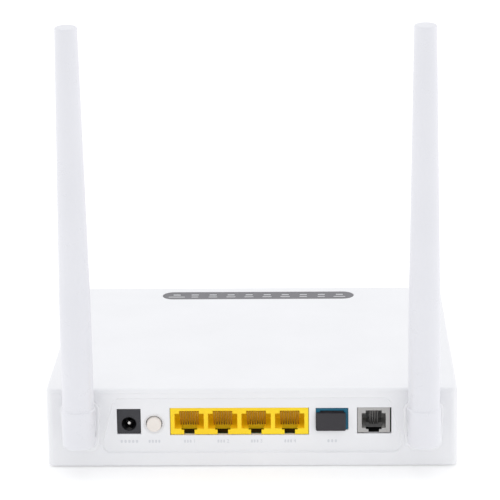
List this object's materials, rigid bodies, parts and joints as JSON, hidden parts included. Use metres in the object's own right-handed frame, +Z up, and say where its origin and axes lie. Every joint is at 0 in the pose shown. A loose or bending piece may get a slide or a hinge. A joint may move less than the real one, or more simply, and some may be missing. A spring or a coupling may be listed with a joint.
{
  "type": "optical network terminal",
  "caption": "Low white fibre terminal with folding antennas, a row of network, phone, optical and power sockets on the rear and an indicator bar on top.",
  "frame": {"origin": "middle of the whole object's footprint box, antenna knuckles included, on the table", "axes": "+Z up, along the upright antennas; -Y towards the connector side; +X to the right when the connectors face the viewer"},
  "size_m": [0.1708, 0.1456, 0.1918],
  "materials": {
    "case_white": "fine satin texture",
    "antenna_white": "smooth satin",
    "jack_yellow": "satin moulded nylon",
    "jack_grey": "satin moulded nylon",
    "jack_black": "fine texture",
    "cap_grey": "soft satin",
    "adapter_blue": "satin moulded",
    "button_white": "smooth",
    "window_grey": "satin printed",
    "light_guide": "frosted clear",
    "board_green": "solder resist",
    "chip_black": "moulded epoxy",
    "heatsink_aluminium": "extruded",
    "contact_gold": "gold-plated springs",
    "nickel": "nickel-plated",
    "steel": "bright zinc",
    "ceramic_white": "polished ceramic",
    "foot_rubber": "matte",
    "label_paper": "matte film",
    "coax_jacket": "satin",
    "brass": "plain"
  },
  "bodies": {
    "case": {"bottom_case": "case_white", "top_cover": "case_white", "indicator_window": "window_grey", "light_pipes": "light_guide", "indicator_leds": "light_guide", "main_board": "board_green", "lan_jack_housing": "jack_yellow", "lan_jack_contacts": "contact_gold", "phone_jack_housing": "jack_grey", "phone_jack_contacts": "contact_gold", "dc_jack_housing": "jack_black", "dc_jack_pin": "nickel", "dc_jack_spring": "nickel", "power_switch_body": "jack_black", "fibre_adapter": "adapter_blue", "fibre_ferrule": "ceramic_white", "optical_module": "steel", "optical_shield": "steel", "main_processor": "chip_black", "heat_sink": "heatsink_aluminium", "memory_chip": "chip_black", "flash_chip": "chip_black", "wifi_shield": "steel", "phone_line_driver": "chip_black", "clock_crystal": "steel", "line_transformers": "chip_black", "filter_capacitors": "chip_black", "power_inductors": "chip_black", "board_screws": "steel", "case_screws": "steel", "rubber_feet": "foot_rubber", "rating_label": "label_paper", "coax_plugs": "brass", "hinge_base_left": "case_white", "coax_left": "coax_jacket", "hinge_pin_left": "steel", "hinge_base_right": "case_white", "coax_right": "coax_jacket", "hinge_pin_right": "steel"},
    "power_button": {"power_button_cap": "button_white", "power_button_stem": "jack_black"},
    "fibre_cap": {"fibre_dust_cap": "cap_grey"},
    "antenna_left": {"antenna_left_root": "antenna_white", "antenna_left_tube": "antenna_white", "antenna_left_feed": "coax_jacket", "antenna_left_choke": "brass", "antenna_left_whip": "brass"},
    "antenna_right": {"antenna_right_root": "antenna_white", "antenna_right_tube": "antenna_white", "antenna_right_feed": "coax_jacket", "antenna_right_choke": "brass", "antenna_right_whip": "brass"}
  },
  "joints": [
    {"name": "antenna_left_fold", "type": "hinge", "parent": "case", "child": "antenna_left", "pos_m": [-0.0714, -0.06582, 0.0185], "axis": [1, 0, 0], "range_deg": [0, 90]},
    {"name": "antenna_right_fold", "type": "hinge", "parent": "case", "child": "antenna_right", "pos_m": [0.0714, -0.06582, 0.0185], "axis": [1, 0, 0], "range_deg": [0, 90]},
    {"name": "power_button_press", "type": "slide", "parent": "case", "child": "power_button", "axis": [0, 1, 0], "range_m": [0, 0.0012], "stiffness_N_per_m": 600, "springref_m": -0.0005},
    {"name": "fibre_cap_pull", "type": "slide", "parent": "case", "child": "fibre_cap", "axis": [0, -1, 0], "range_m": [0, 0.012]}
  ]
}
